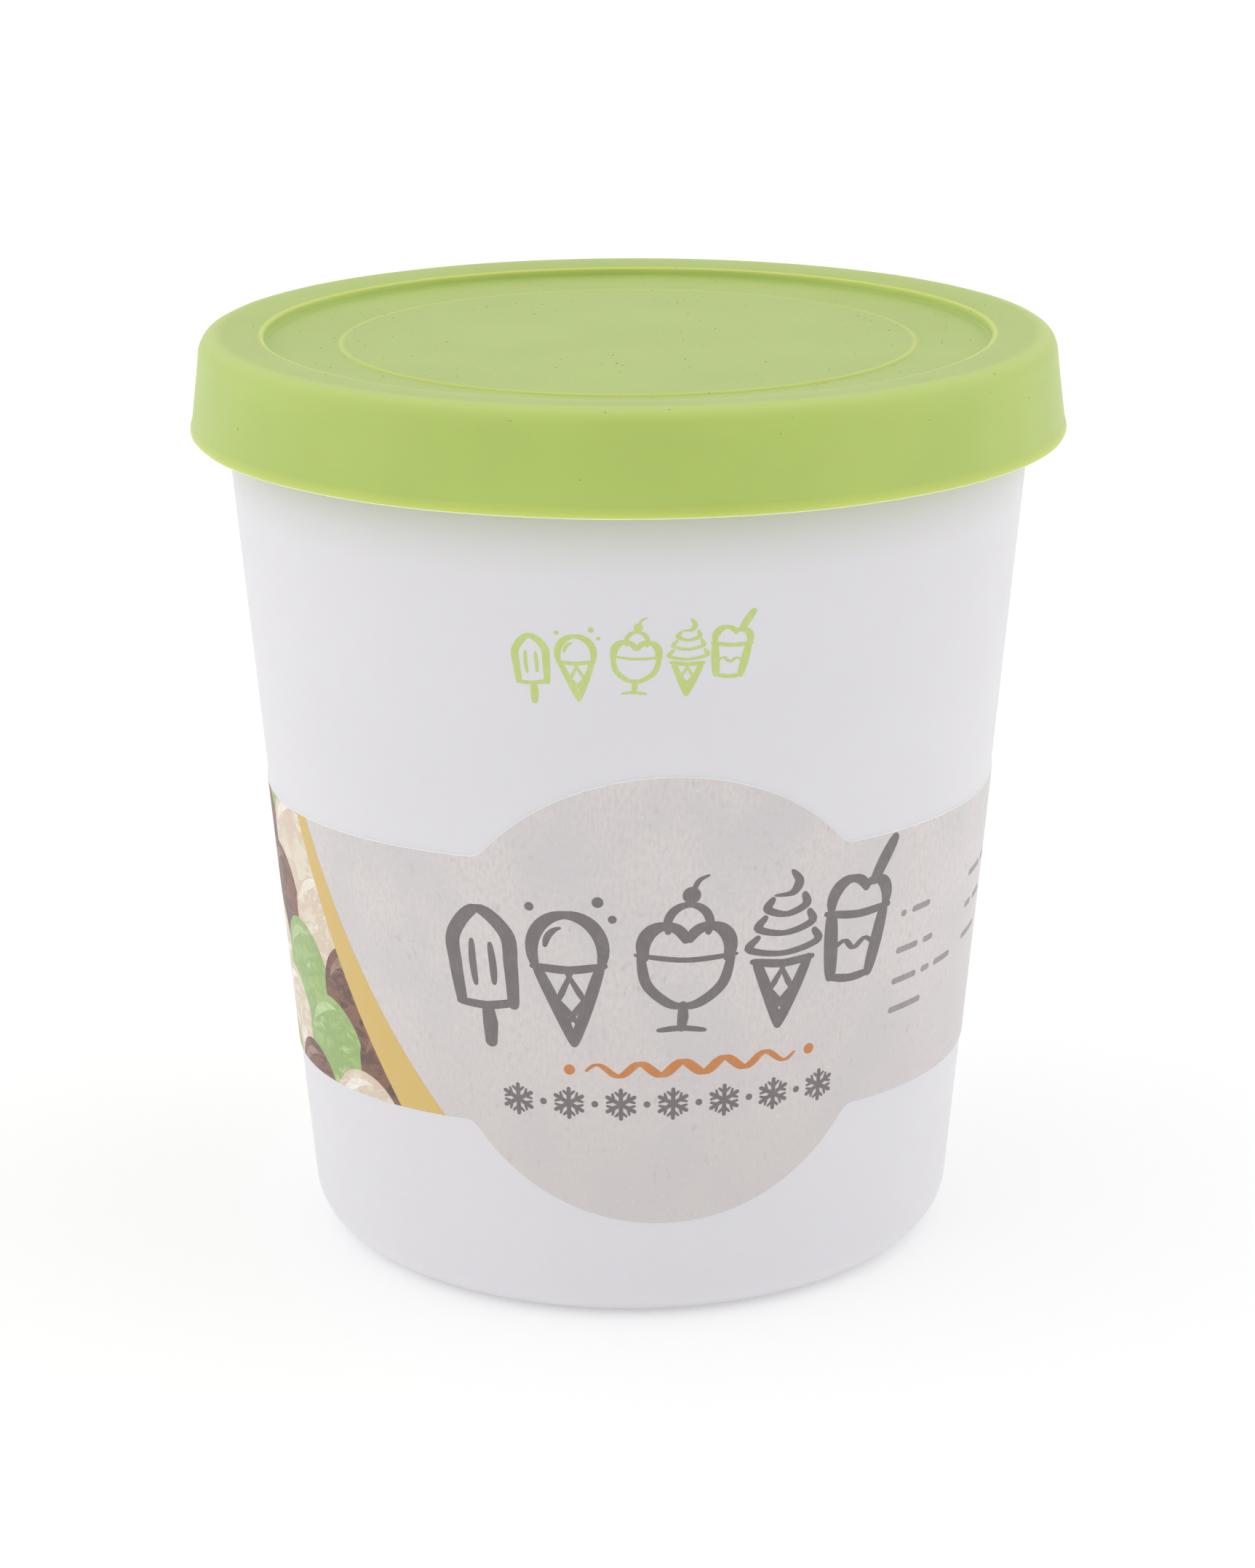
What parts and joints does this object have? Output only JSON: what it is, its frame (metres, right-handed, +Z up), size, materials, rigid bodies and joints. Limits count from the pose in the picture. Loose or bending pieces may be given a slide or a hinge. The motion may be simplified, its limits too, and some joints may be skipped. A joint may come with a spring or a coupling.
{
  "type": "food storage container",
  "caption": "Round tapered ice cream tub, shut by a soft push-on lid with a sunken top, with a wrap-round paper label.",
  "frame": {"origin": "centre of the base, on the ground", "axes": "+Z up along the tub's axis, -Y towards the front, where the label is widened to a round panel"},
  "size_m": [0.126, 0.126, 0.1341],
  "materials": {
    "tub": "white moulded polypropylene, satin",
    "lid": "lime green moulded silicone, matte",
    "label": "coated paper printed in warm grey with simple motifs"
  },
  "bodies": {
    "root": {"tub": "tub", "lid": "lid", "label": "label"}
  },
  "joints": []
}
